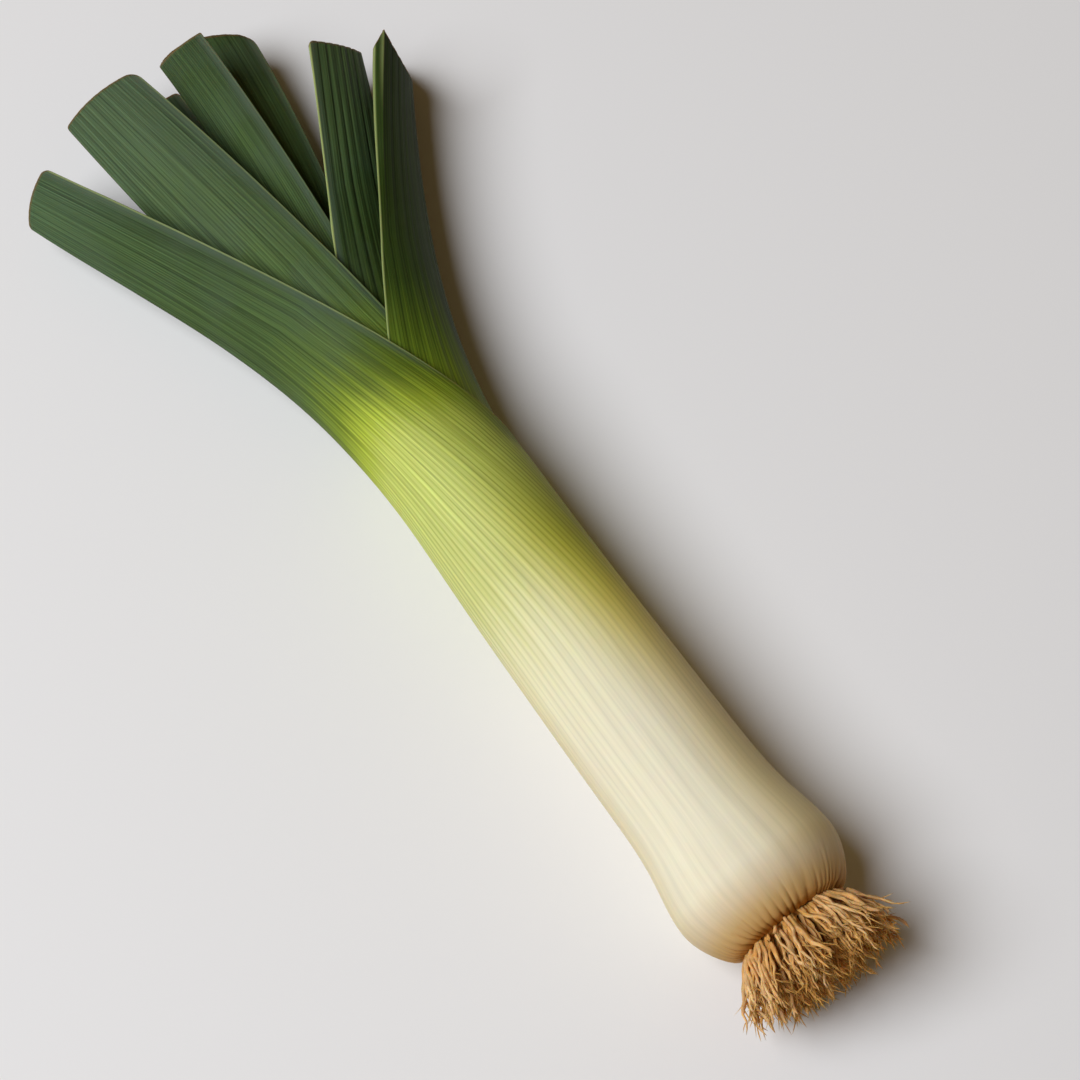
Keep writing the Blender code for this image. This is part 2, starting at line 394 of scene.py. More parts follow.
def edge_point(leaf, curves, edge, x):
    """The edge's point in the row whose keel is at x. Below the mouth it lies on the closed sheath."""
    if x <= leaf["mouth"]:
        way = leaf["side"] if edge == "keel" else -leaf["side"]
        return Vector((x, axis_y(x) + way * sheath_radius(leaf, x), 0))
    tip_x = leaf["keel"][2][0]
    reach = leaf[edge][2][0] - tip_x
    along = (x - leaf["mouth"]) / (tip_x - leaf["mouth"])
    return point_at_x(curves[edge], x + reach * smoothstep(along))


for name, leaf in LEAVES.items():
    curves = edge_curves(leaf)
    width = (edge_point(leaf, curves, "front", 260) - edge_point(leaf, curves, "keel", 260)).length
    print(f"{name}: front half {width:.1f} mm across at x = 260")

# %% [markdown]
# ## From a flat grid to a leaf
#
# A leaf could be lofted between its curves by hand, but a grid does the bookkeeping: it already has its
# rows, its columns and its faces, and every point only has to be moved to its place. One direction of the
# grid runs along the leaf, the other across it, with the keel in the middle and a margin on each side.
#
# Across each half the section is an arc. In the closed sheath it is half a circle. Towards the tip it
# opens until the half is nearly flat, which is how a leek's round sheath turns into a folded blade. The
# cut end is not a straight line: it is bowed, its corners are round, and on one leaf the drying margin
# has curled over.

# %% One half of a leaf's section
TIP_REACH = 16.0  # mm over which the cut end's shape dies away
CURL_FROM = 0.92  # of the way from the keel to the margin
CURL_SLANT = 6.5  # mm that the cut end falls back over the curled strip
CURL_TURN = Vector((1.15, 1.55, -4.0))  # where the curl takes the margin, in mm


def half_arc(leaf, keel, margin, half, along):
    """The arc's half angle: a half circle in the closed tube, the tip's own angle on the open blade."""
    chord = margin - keel
    tilt = math.atan2(half * chord.z, -leaf["side"] * chord.y)
    closed = math.pi / 2 - tilt
    opened = math.radians(leaf["tip_arc"])
    return closed + (opened - closed) * smoothstep(along / leaf["folded_at"])


def arc_point(keel, margin, arc, outward, across):
    """The point at this share of the way from the keel (0) to the margin (1)."""
    turn = (2 * across - 1) * arc
    forward = (math.sin(arc) + math.sin(turn)) / (2 * math.sin(arc))
    out = (math.cos(turn) - math.cos(arc)) / (2 * math.sin(arc))
    return keel + (margin - keel) * forward + outward * out


def curl_share(across):
    """From 0 where a curled margin starts to bend over to 1 at the margin itself."""
    return max(0.0, across - CURL_FROM) / (1 - CURL_FROM)


def corner_drop(radius, distance):
    """How far the cut end falls back at this distance from a corner, so that the corner is round."""
    inside = max(0.0, radius - distance)
    return radius - math.sqrt(radius**2 - inside**2)


def end_shape(leaf, across, half, length):
    """How far the cut end stands out here: bowed in the middle of a half, rounded at its two corners."""
    bow = leaf["bow"][0 if half > 0 else 1] * 4 * across * (1 - across)
    at_keel, at_margin = leaf["corners"][0], leaf["corners"][1 if half > 0 else 2]
    if half > 0:
        bow -= leaf["curl"] * CURL_SLANT * curl_share(across)
    return bow - corner_drop(at_keel, across * length) - corner_drop(at_margin, (1 - across) * length)


print("corners of the cut ends:", [leaf["corners"] for leaf in LEAVES.values()])

# %% [markdown]
# ## Veins and pleats
#
# Two kinds of ridge run along a leek's leaf. Veins are fine and even. Pleats are broader and shallower, a
# few to each half, and each has its own height, which changes slowly on the way to the tip. Both follow
# the grid's columns, so they stay parallel, spread over the shaft and draw together on the narrower
# blade, as on the plant. They are modelled here as real shape, and the material later tints the same
# grooves.

# %% Veins and pleats
BULB_PLEATS = 26  # round each half of the bulb
BULB_PLEAT_HEIGHT = 0.75
BULB_PLEAT_REACH = 4.4  # mm from the root ring


def ridge(position):
    """A rounded ridge with a narrow groove at each whole number: -0.75 in the groove, 0.25 on the crest."""
    return abs(math.sin(math.pi * position)) ** 0.6 - 0.75


def pleat_at(leaf, lane, x, half):
    """The pleats' rise and fall, each with its own height. lane is the point's place among the veins."""
    tall = 0.6 + 0.9 * noise.noise(Vector((leaf["layer"] * 7.3 + half * 3.1, lane * 9.0, x / 90)))
    drift = 0.35 * noise.noise(Vector((leaf["layer"] * 3.7, lane * 2.0, x / 70 + 5 * half)))
    return tall * smoothstep((x - leaf["mouth"] + 30) / 45) * ridge(lane * leaf["pleats"] + drift)


def bulb_pleat_at(across, x, half):
    """The bulb's own short folds, which draw in to the root ring."""
    wander = 1.6 * noise.noise(Vector((across * 7.0, half * 4.0, x / 14)))
    deep = 0.55 + 1.5 * abs(noise.noise(Vector((across * 13.0, 8.0 + half * 2.0, 0.0))))
    reach = BULB_PLEAT_REACH * (1 + 1.1 * noise.noise(Vector((across * 17.0, 3.0 - half * 2.0, 1.0))))
    return deep * math.exp(-((max(x, 0) / reach) ** 1.5)) * ridge(across * BULB_PLEATS + wander)


def surface_height(leaf, pleat, across, lane, x, half):
    """How far the skin stands out, in mm: veins and pleats, and the shaft's folds and low lobes."""
    height = leaf["vein_height"] * ridge(lane * leaf["veins"]) * (0.1 + 0.9 * smoothstep((x - 50) / 80))
    if leaf["base"] > 0:
        return height + leaf["pleat_height"] * pleat
    lobes = 0.22 * noise.noise(Vector((x / 32, across * 1.6 * half, 3.0)))
    folds = bulb_pleat_at(across, x, half)
    return height + leaf["pleat_height"] * pleat + BULB_PLEAT_HEIGHT * folds + lobes


print("veins round the shaft:", 2 * LEAVES["shaft_with_outer_leaf"]["veins"])

# %% [markdown]
# ## Making a leaf
#
# The grid is mapped to the leaf, its veins are raised along its own normals, and a Solidify modifier
# gives it its wall, thinner towards the margins. Each point remembers how far it is from the margin and
# from the cut end, because the colour changes there. The UV map runs across the leaf in U, from margin to
# margin with the keel at a half, and along it in V, where 1 is 300 mm from the root end.

# %% A leaf's rows
V_LENGTH = 300.0
THIN_MARGIN = 0.45  # of the wall
THIN_WIDTH = 5.0  # mm
FLOW_REACH = 62.0  # the veins bend from this far below the mouth to this far above it
REMEMBERED = ("from_margin", "from_cut", "pleat")  # what each point keeps for the material
HEADING_STEP = 2.0  # mm back along an edge, to see which way it runs


def row_place(leaf, progress):
    """Rows lie closer together at both ends, where the root ring turns in and the cut corners are round."""
    tip_x = leaf["keel"][2][0]
    eased = 0.5 - 0.5 * math.cos(math.pi * progress)
    return leaf["base"] + (tip_x - leaf["base"]) * (0.45 * eased + 0.55 * progress)


def leaf_rows(leaf):
    """For each row: its x, its share of the open blade, its keel, and what each half is drawn from."""
    curves = edge_curves(leaf)
    tip_x = leaf["keel"][2][0]
    settled = leaf["mouth"] + FLOW_REACH
    rows = []
    for number in range(leaf["rows"] + 1):
        x = row_place(leaf, number / leaf["rows"])
        along = (x - leaf["mouth"]) / (tip_x - leaf["mouth"])
        keel = edge_point(leaf, curves, "keel", x)
        halves = {}
        for half, edge in ((1, "front"), (-1, "back")):
            margin = edge_point(leaf, curves, edge, x)
            arc = half_arc(leaf, keel, margin, half, along)
            chord = margin - keel
            outward = Vector((0, chord.z, -chord.y)) * (leaf["side"] * half)
            length = chord.length * arc / math.sin(arc)
            headings = [
                (end - edge_point(leaf, curves, line, x - HEADING_STEP)).normalized()
                for end, line in ((keel, "keel"), (margin, edge))
            ]
            halves[half] = [margin, arc, outward, length, length, headings]
        rows.append((x, along, keel, halves))
    for half in (1, -1):
        blade_width = next(row[3][half][3] for row in rows if row[0] >= settled)
        for x, _, _, halves in rows:
            if x < settled:
                tube_width = math.pi * sheath_radius(leaf, x)
                turned = smoothstep((x - leaf["mouth"] + FLOW_REACH) / (2 * FLOW_REACH))
                halves[half][4] = tube_width + (blade_width - tube_width) * turned
    return rows


first_rows = leaf_rows(LEAVES["shaft_with_outer_leaf"])[:4]
print("rows of the shaft:", [round(row[0], 1) for row in first_rows], "...")

# %% A leaf's skin
def mapped_leaf(leaf):
    """The leaf's outer skin, in millimetres, with its UV map and what each point remembers."""
    rows = leaf_rows(leaf)
    tip_x = leaf["keel"][2][0]
    bm = bmesh.new()
    bmesh.ops.create_grid(bm, x_segments=leaf["rows"], y_segments=2 * leaf["half_columns"], size=1)
    memory = {name: bm.verts.layers.float.new(name) for name in (*REMEMBERED, "height")}
    growth = bm.loops.layers.uv.new("growth")
    wall = bm.verts.layers.deform.verify()
    for face in bm.faces:
        half = 1 if face.calc_center_median().y >= 0 else -1
        for loop in face.loops:
            x, _, _, halves = rows[round((loop.vert.co.x + 1) / 2 * leaf["rows"])]
            lane = abs(loop.vert.co.y) * halves[half][3] / halves[half][4]
            loop[growth].uv = (0.5 + 0.5 * half * lane, x / V_LENGTH)
    for vert in bm.verts:
        x, along, keel, halves = rows[round((vert.co.x + 1) / 2 * leaf["rows"])]
        half = 1 if vert.co.y >= 0 else -1
        across = abs(vert.co.y)
        margin, arc, outward, length, lane_width, headings = halves[half]
        lane = across * length / lane_width
        place = arc_point(keel, margin, arc, outward, across)
        near_tip = max(0.0, 1 - (tip_x - x) / TIP_REACH)
        heading = headings[0].lerp(headings[1], across)
        place += heading * end_shape(leaf, across, half, length) * near_tip**1.5
        if half > 0:
            place += CURL_TURN * leaf["curl"] * curl_share(across) * smoothstep((along - 0.55) / 0.4)
        pleat = pleat_at(leaf, lane, x, half)
        vert[memory["from_margin"]] = (1 - across) * length + max(0, leaf["mouth"] + 1 - x)
        vert[memory["from_cut"]] = tip_x - x
        vert[memory["pleat"]] = pleat if x > 60 else bulb_pleat_at(across, x, half)
        vert[memory["height"]] = surface_height(leaf, pleat, across, lane, x, half)
        thickened = smoothstep(vert[memory["from_margin"]] / THIN_WIDTH)
        vert[wall][0] = THIN_MARGIN + (1 - THIN_MARGIN) * thickened
        vert.co = place
    bmesh.ops.remove_doubles(bm, verts=bm.verts, dist=1e-4)
    if leaf["side"] > 0:
        bmesh.ops.reverse_faces(bm, faces=bm.faces)
    bm.normal_update()
    shifts = [vert.normal * vert[memory["height"]] for vert in bm.verts]
    for vert, shift in zip(bm.verts, shifts):
        vert.co += shift
    return bm


print("each point keeps:", ", ".join(REMEMBERED))

# %% From a drawing to an object
def new_piece(name, bm, finish):
    """Places a drawing in the frame and makes it an object at the origin."""
    bmesh.ops.transform(bm, matrix=drawing_to_frame, verts=bm.verts)
    mesh = bpy.data.meshes.new(name)
    bm.to_mesh(mesh)
    bm.free()
    mesh.materials.append(finish)
    mesh.shade_smooth()
    piece = bpy.data.objects.new(name, mesh)
    bpy.context.scene.collection.objects.link(piece)
    return piece


def make_leaf(name, leaf, finish):
    piece = new_piece(name + "_skin", mapped_leaf(leaf), finish)
    piece.vertex_groups.new(name="wall")
    wall = piece.modifiers.new("wall", "SOLIDIFY")
    wall.thickness = WALL * MM
    wall.offset = -1
    wall.vertex_group = "wall"
    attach(piece, "root")
    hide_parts(name)
    return piece


print("a leaf's wall:", WALL, "mm")

# %% [markdown]
# ## Building materials from nodes
#
# A procedural material is a tree of nodes. A few helpers keep the trees readable: add makes a node and
# sets or links its inputs, and the others each do one everyday thing and give back the result's socket.
# Most of the work is done by fade, which says where on the leaf something begins and ends.

# %% Helpers for node trees
def add(tree, kind, inputs=None, **settings):
    made = tree.nodes.new(kind)
    for key, value in settings.items():
        setattr(made, key, value)
    for key, value in (inputs or {}).items():
        if isinstance(value, bpy.types.NodeSocket):
            tree.links.new(value, made.inputs[key])
        else:
            made.inputs[key].default_value = value
    return made


def calc(tree, operation, *values):
    made = add(tree, "ShaderNodeMath", dict(enumerate(values)), operation=operation)
    return made.outputs[0]


def product(tree, first, *others):
    """All these values multiplied together."""
    for other in others:
        first = calc(tree, "MULTIPLY", first, other)
    return first


def fade(tree, value, low, high, to_low=0.0, to_high=1.0):
    """Smoothly from to_low to to_high as the value goes from low to high."""
    made = add(
        tree,
        "ShaderNodeMapRange",
        {"Value": value, "From Min": low, "From Max": high, "To Min": to_low, "To Max": to_high},
        interpolation_type="SMOOTHSTEP",
    )
    return made.outputs["Result"]


def noise_value(tree, vector, scale, detail):
    made = add(tree, "ShaderNodeTexNoise", {"Vector": vector, "Scale": scale, "Detail": detail})
    return made.outputs["Fac"]


print("helpers for numbers ready")

# %% Helpers for colours
def blend(tree, share, under, over, mode="MIX"):
    made = tree.nodes.new("ShaderNodeMix")
    made.data_type = "RGBA"
    made.blend_type = mode
    for number, value in ((0, share), (6, under), (7, over)):
        if isinstance(value, bpy.types.NodeSocket):
            tree.links.new(value, made.inputs[number])
        else:
            made.inputs[number].default_value = value if number == 0 else (*value, 1)
    return made.outputs[2]


def shade(tree, colour, value, strength):
    """The colour made darker or lighter by a plain number, which is 1 for no change."""
    grey = add(tree, "ShaderNodeCombineXYZ", {0: value, 1: value, 2: value}).outputs[0]
    return blend(tree, strength, colour, grey, "MULTIPLY")


def ramp_colour(tree, value, stops, whole=1.0):
    """A smooth run of colours. stops are (place, colour), and a place is divided by the whole."""
    ramp = add(tree, "ShaderNodeValToRGB", {0: value})
    points = ramp.color_ramp.elements
    while len(points) < len(stops):
        points.new(0.5)
    for point, (place, colour) in zip(points, stops):
        point.position = place / whole
        point.color = (*colour, 1)
    return ramp.outputs["Color"]


print("helpers for colours ready")

# %% Helpers for whole materials
BUMP_DEPTH = 0.0003  # m


def let_light_in(shader, weight, reach, scale):
    """Light goes a little way in: this far in red, green and blue, times the scale in metres."""
    shader.inputs["Subsurface Weight"].default_value = weight
    shader.inputs["Subsurface Radius"].default_value = reach
    shader.inputs["Subsurface Scale"].default_value = scale


def new_finish(name):
    """A new material, its tree and its Principled BSDF."""
    finish = bpy.data.materials.new(name)
    finish.use_nodes = True
    return finish, finish.node_tree, finish.node_tree.nodes["Principled BSDF"]


def connect(tree, shader, colour, roughness, height, bumpiness):
    """Joins what was worked out to the shader. height goes to a shallow bump."""
    tree.links.new(colour, shader.inputs["Base Color"])
    tree.links.new(roughness, shader.inputs["Roughness"])
    bump = add(tree, "ShaderNodeBump", {"Height": height, "Strength": bumpiness, "Distance": BUMP_DEPTH})
    tree.links.new(bump.outputs["Normal"], shader.inputs["Normal"])


def new_group(name, inputs, outputs):
    """A node group with these sockets, each a (kind, name), and its two end nodes."""
    group = bpy.data.node_groups.new(name, "ShaderNodeTree")
    for direction, sockets in (("INPUT", inputs), ("OUTPUT", outputs)):
        for kind, label in sockets:
            group.interface.new_socket(label, in_out=direction, socket_type="NodeSocket" + kind)
    return group, group.nodes.new("NodeGroupInput"), group.nodes.new("NodeGroupOutput")


print("helpers for materials ready, bumps up to", BUMP_DEPTH / MM, "mm deep")

# %% [markdown]
# ## Growth lines, shared by every leaf
#
# Everything on a leek's leaf runs lengthways: the grooves between the veins, streaks where one vein is
# greener than its neighbour, broader bands of tone, and fine fibres. The group reads the leaf's own UV
# map. It counts veins across the leaf, and stretches its noise a long way along it. Length is in mm from
# the root end, and Lane goes from 0 at the keel to 1 at a margin.

# %% Growth lines
lines, given, result = new_group(
    "growth_lines",
    [("Vector", "UV"), ("Float", "Veins")],
    [("Float", name) for name in ("Groove", "Crest", "Streak", "Band", "Fibre", "Length", "Lane")],
)
parts = add(lines, "ShaderNodeSeparateXYZ", {0: given.outputs["UV"]})
lane = calc(lines, "ABSOLUTE", calc(lines, "MULTIPLY_ADD", parts.outputs["X"], 2.0, -1.0))
vein = product(lines, lane, given.outputs["Veins"])
crest = calc(lines, "ABSOLUTE", calc(lines, "SINE", product(lines, vein, math.pi)))
signed_vein = product(lines, parts.outputs["X"], given.outputs["Veins"], 2.0)


def long_noise(across, along, depth, detail, scale=1.0):
    """Noise that changes this often from vein to vein, and this often in each V_LENGTH along the leaf."""
    place = {
        "X": product(lines, signed_vein, across),
        "Y": product(lines, parts.outputs["Y"], along),
        "Z": depth,
    }
    return noise_value(lines, add(lines, "ShaderNodeCombineXYZ", place).outputs[0], scale, detail)


for name, value in (
    ("Lane", lane),
    ("Crest", crest),
    ("Groove", calc(lines, "SUBTRACT", 1.0, calc(lines, "POWER", crest, 0.55))),
    ("Streak", long_noise(1.0, 2.0, 0.0, 2.0, scale=0.9)),
    ("Band", long_noise(0.75, 3.0, 7.0, 2.0)),
    ("Fibre", long_noise(3.2, 9.0, 0.0, 4.0)),
    ("Length", product(lines, parts.outputs["Y"], V_LENGTH)),
):
    lines.links.new(value, result.inputs[name])
print("growth_lines:", len(lines.nodes), "nodes")

# %% [markdown]
# ## The leaf's colour, along its length
#
# A leek's colour follows its length, and depends on what the light reached while it grew: white where it
# was earthed up, then pale yellow-green, lime, and dark green on the blades. The steps are not straight
# across: each vein turns green at its own height, so one colour runs into the next in fingers. A colour
# ramp along the leaf, pushed back and forth by the streaks, gives both.
#
# What a material knows about each point is kept in one dictionary of sockets: the growth lines' outputs,
# in small letters, and what the mesh remembers.

# %% Colour along the leaf
RAMP_LENGTH = 320.0
STREAK_PUSH = 20.0  # mm that the strongest streaks move the colour


def known_places(tree, leaf):
    uv = add(tree, "ShaderNodeUVMap", uv_map="growth").outputs["UV"]
    grown = add(tree, "ShaderNodeGroup", {0: uv, "Veins": leaf["veins"]}, node_tree=lines)
    at = {socket.name.lower(): socket for socket in grown.outputs}
    for name in REMEMBERED:
        at[name] = add(tree, "ShaderNodeAttribute", attribute_name=name).outputs["Fac"]
    at["uv"] = uv
    return at


def colour_along(tree, at, leaf, stops):
    """The ramp's colour, where stops are (mm from the root end, colour)."""
    keel_pull, margin_pull = leaf["green_pull"]
    near_keel = fade(tree, at["lane"], 0.0, 0.42, keel_pull, 0.0)
    near_margin = fade(tree, at["lane"], 0.42, 1.0, 0.0, margin_pull)
    arch = product(tree, calc(tree, "ADD", near_keel, near_margin), fade(tree, at["length"], 120.0, 175.0))
    streaks = calc(tree, "SUBTRACT", at["streak"], 0.5)
    push = product(tree, streaks, fade(tree, at["length"], 20.0, 90.0, 0.0, STREAK_PUSH))
    pushed = calc(tree, "ADD", push, calc(tree, "ADD", at["length"], arch))
    return ramp_colour(tree, calc(tree, "DIVIDE", pushed, RAMP_LENGTH), stops, RAMP_LENGTH)


def vein_tones(tree, at, colour):
    """Olive grooves, faint lines on the white part, broader bands on the blade, painted shade by the
    margin.
    """
    length = at["length"]
    depth = product(
        tree, fade(tree, length, 75.0, 140.0, 0.0, 0.5), fade(tree, length, 190.0, 225.0, 1.2, 0.9)
    )
    colour = blend(tree, product(tree, at["groove"], depth), colour, (0.40, 0.48, 0.15), "MULTIPLY")
    soft_line = fade(tree, at["crest"], 0.0, 0.9, 0.93, 1.015)
    colour = shade(tree, colour, soft_line, fade(tree, length, 12.0, 80.0, 0.15, 1.0))
    banded = fade(tree, at["band"], 0.32, 0.68, 0.79, 1.21)
    colour = shade(tree, colour, banded, fade(tree, length, 150.0, 205.0, 0.22, 1.0))
    # darker towards the margins on the blades: painted shade
    margin_painted_shade = fade(tree, at["lane"], 0.55, 0.95, 1.0, 0.80)
    return shade(tree, colour, margin_painted_shade, fade(tree, length, 195.0, 235.0))


print("colour along the leaf, to", RAMP_LENGTH, "mm")

# %% [markdown]
# ## What only some leaves have
#
# The outermost sheath gets painted shade on its sides: towards the margins it is painted olive and
# yellow where the shaft turns green, and tan where it is white, with a weaker tan along the keel. The
# folds by the root ring are rusty in their grooves, and the skin is darker near the margins around the
# mouth. On the blades the pleats' grooves get painted shade and their crests painted light, dust lies in
# patches, and the fibres show.

# %% Painted shade on the sides, and blades
def shade_side_tints(tree, at, colour):
    """The outermost sheath's tints from side to side: painted shade on the sides of the shaft."""
    length, lane = at["length"], at["lane"]
    # Olive, yellow and tan towards the margins, and a weaker tan along the keel: painted shade on the
    # shaft's sides.
    olive_shade = product(
        tree,
        fade(tree, length, 80.0, 125.0),
        fade(tree, lane, 0.48, 0.8),
        fade(tree, length, 185.0, 205.0, 0.9, 0.0),
    )
    colour = blend(tree, olive_shade, colour, (0.65, 0.67, 0.45), "MULTIPLY")
    yellow_shade = product(
        tree,
        fade(tree, length, 60.0, 105.0),
        fade(tree, lane, 0.36, 0.72),
        fade(tree, length, 110.0, 160.0, 1.0, 0.0),
    )
    colour = blend(tree, yellow_shade, colour, (0.93, 0.89, 0.32), "MULTIPLY")
    sides = calc(tree, "ADD", fade(tree, lane, 0.45, 0.75), fade(tree, lane, 0.02, 0.16, 0.45, 0.0))
    tan_shade = product(
        tree, sides, fade(tree, length, 80.0, 115.0, 1.0, 0.0), fade(tree, length, 4.0, 16.0)
    )
    return blend(tree, tan_shade, colour, (0.93, 0.84, 0.6), "MULTIPLY")


def blade_tones(tree, at, colour, leaf):
    """Painted light on the back half's tip, painted shade and light on the pleats, the dust and the fibres.
    """
    length = at["length"]
    # the back half is painted lighter near the tip: painted light where the front half shades it
    if leaf["back_painted_light"] > 1:
        u = add(tree, "ShaderNodeSeparateXYZ", {0: at["uv"]}).outputs["X"]
        back_half = fade(tree, u, 0.49, 0.5, 1.0, 0.0)
        painted_light_share = product(tree, back_half, fade(tree, length, 285.0, 305.0, 1.0, 0.0))
        colour = shade(tree, colour, leaf["back_painted_light"], painted_light_share)
    # darker in the pleats' grooves and lighter on their crests: painted shade and painted light
    folded = fade(tree, at["pleat"], -0.7, 0.25, 1 - leaf["pleat_shade"], 1 + 0.3 * leaf["pleat_shade"])
    colour = shade(tree, colour, folded, fade(tree, length, 150.0, 215.0, 0.0, 1.0))
    patches = noise_value(tree, add(tree, "ShaderNodeTexCoord").outputs["Object"], 60.0, 4.0)
    dusty = product(
        tree,
        fade(tree, patches, 0.42, 0.66),
        fade(tree, length, 170.0, 215.0),
        leaf["bloom"],
    )
    colour = blend(tree, dusty, colour, (0.074, 0.108, 0.059))
    fibres = fade(tree, at["fibre"], 0.3, 0.7, 0.70, 1.24)
    return shade(tree, colour, fibres, fade(tree, length, 90.0, 210.0, 0.10, 1.0))


def sheath_ends(tree, at, colour):
    """Rust in the folds by the root ring, and darker skin near the margins around the mouth."""
    length = at["length"]
    rust = product(
        tree, fade(tree, length, 0.0, 10.0, 1.0, 0.0), fade(tree, at["pleat"], -0.5, 0.05, 1.0, 0.0)
    )
    colour = blend(tree, rust, colour, (0.272, 0.103, 0.0161))
    # darker within about 12 mm of the margins around the mouth
    by_mouth = product(
        tree,
        fade(tree, length, 135.0, 150.0),
        fade(tree, length, 170.0, 195.0, 1.0, 0.0),
        fade(tree, at["from_margin"], 1.0, 12.0, 0.8, 0.0),
    )
    return blend(tree, by_mouth, colour, (0.42, 0.48, 0.4), "MULTIPLY")


print("tints ready")

# %% [markdown]
# ## Edges, and the whole finish
#
# The very edge of a blade is a pale line, with a darker band inside it that is painted shade under the
# edge. A curled margin gets a painted highlight along the ridge where it bends over. The cut end has
# dried to a thin brown line. Fresh leaves are waxy but not shiny, and let a little light in.

# %% The whole finish
def edge_tones(tree, at, colour, leaf):
    length = at["length"]
    # a darker band just inside the pale margin line: painted shade under the edge
    edge_painted_shade = fade(tree, at["from_margin"], 1.2, 3.0, 0.5 * (1 - leaf["curl"]), 0.0)
    edge_painted_shade = product(tree, edge_painted_shade, fade(tree, length, 170.0, 190.0))
    colour = blend(tree, edge_painted_shade, colour, (0.076, 0.108, 0.067))
    pale_line = fade(tree, at["from_margin"], 0.2, 0.7, leaf["pale_edge"], 0.0)
    pale_line = product(tree, pale_line, fade(tree, length, 162.0, 184.0))
    colour = blend(tree, pale_line, colour, (0.37, 0.433, 0.143))
    if leaf["curl"]:
        off_ridge = calc(tree, "ABSOLUTE", calc(tree, "SUBTRACT", at["lane"], CURL_FROM))
        # a painted highlight along the ridge where the curled margin bends over
        ridge_highlight = product(
            tree,
            fade(tree, off_ridge, 0.0, 0.035, 0.75, 0.0),
            fade(tree, at["from_cut"], 5.0, 24.0, 1.0, 0.0),
        )
        colour = blend(tree, ridge_highlight, colour, (0.17, 0.2, 0.06))
    dried = fade(tree, at["from_cut"], 0.1, 0.8, 0.7, 0.0)
    return blend(tree, dried, colour, (0.163, 0.103, 0.04))


def leaf_finish(name, leaf, stops):
    finish, tree, shader = new_finish(name)
    at = known_places(tree, leaf)
    outermost = leaf["base"] == 0
    colour = vein_tones(tree, at, colour_along(tree, at, leaf, stops))
    if outermost:
        colour = shade_side_tints(tree, at, colour)
    colour = blade_tones(tree, at, colour, leaf)
    if outermost:
        colour = sheath_ends(tree, at, colour)
    colour = edge_tones(tree, at, colour, leaf)
    roughness = fade(tree, at["fibre"], 0.3, 0.7, 0.47, 0.65)
    height = product(tree, at["fibre"], fade(tree, at["length"], 90.0, 210.0, 0.15, 1.0))
    connect(tree, shader, colour, roughness, height, 0.3)
    shader.inputs["Specular IOR Level"].default_value = 0.08
    let_light_in(shader, 0.25, (1.0, 0.4, 0.15), 0.003)
    return finish


print("leaf finish ready")

# %% [markdown]
# ## The leaves
#
# Each leaf has its own run of colours, because the sheltered inner ones are paler or yellower at the
# base. The outer leaf on the right is painted darker all along, painted shade for the shade it lies in,
# and the inner leaf on the right is painted lighter towards its tip, painted light where the outer one
# shades it. The inner leaves' colours start where they come out of the leaf outside them.

# %% The leaves
SKIN_STOPS = [
    (0, (0.517, 0.265, 0.061)),
    (5, (0.576, 0.374, 0.147)),
    (10, (0.663, 0.525, 0.313)),
    (17, (0.783, 0.69, 0.473)),
    (30, (0.794, 0.711, 0.491)),
    (65, (0.783, 0.7, 0.473)),
    (85, (0.775, 0.705, 0.44)),
    (100, (0.745, 0.692, 0.375)),
    (120, (0.615, 0.612, 0.215)),
    (150, (0.582, 0.626, 0.167)),
    (167, (0.54, 0.585, 0.125)),
    (177, (0.411, 0.484, 0.048)),
    (188, (0.187, 0.25, 0.023)),
    (200, (0.104, 0.157, 0.031)),
    (216, (0.071, 0.116, 0.032)),
    (240, (0.06, 0.1, 0.029)),
    (262, (0.06, 0.101, 0.032)),
    (285, (0.072, 0.119, 0.049)),
    (320, (0.077, 0.127, 0.055)),
]
BLADE_STOPS = {
    # painted shade: this leaf's colours are darker all along, for the shade that it lies in
    "leaf_right_outer": [
        (160, (0.207, 0.258, 0.0107)),
        (186, (0.1, 0.149, 0.0107)),
        (205, (0.039, 0.068, 0.0089)),
        (270, (0.025, 0.044, 0.006)),
    ],
    "leaf_left_middle": [
        (175, (0.304, 0.371, 0.045)),
        (200, (0.147, 0.211, 0.023)),
        (222, (0.087, 0.139, 0.034)),
        (262, (0.076, 0.12, 0.039)),
        (320, (0.082, 0.125, 0.058)),
    ],
    "leaf_right_inner": [
        (180, (0.174, 0.227, 0.0196)),
        (205, (0.05, 0.083, 0.009)),
        (222, (0.036, 0.061, 0.012)),
        # painted light: lighter from here to the tip, where the outer leaf on the right shades this one
        (245, (0.045, 0.079, 0.023)),
        (262, (0.069, 0.113, 0.036)),
        (320, (0.076, 0.12, 0.04)),
    ],
    "leaf_left_heart": [
        (195, (0.152, 0.206, 0.027)),
        (225, (0.076, 0.114, 0.024)),
        (255, (0.061, 0.103, 0.027)),
        (320, (0.05, 0.082, 0.025)),
    ],
}
for name, leaf in LEAVES.items():
    finish = leaf_finish(name, leaf, BLADE_STOPS.get(name, SKIN_STOPS))
    skin = make_leaf(name, leaf, finish)
    print(name, len(skin.data.polygons), "faces before its wall")

# %% [markdown]
# ## The root plate
#
# The leaves grow from a small hard disc at the bottom of the shaft, and so do the roots. Hardly any of it
# shows, but without it there would be a hole between the roots. A ball pressed flat and roughened a
# little is enough. It fills the ring from side to side, because the outermost sheath grows out of its
# rim.

# %% The root plate
PLATE_REACH = 13.9  # mm, against the inside of the ring
PLATE_HALF_DEPTH = 2.8
PLATE_AT = 0.6

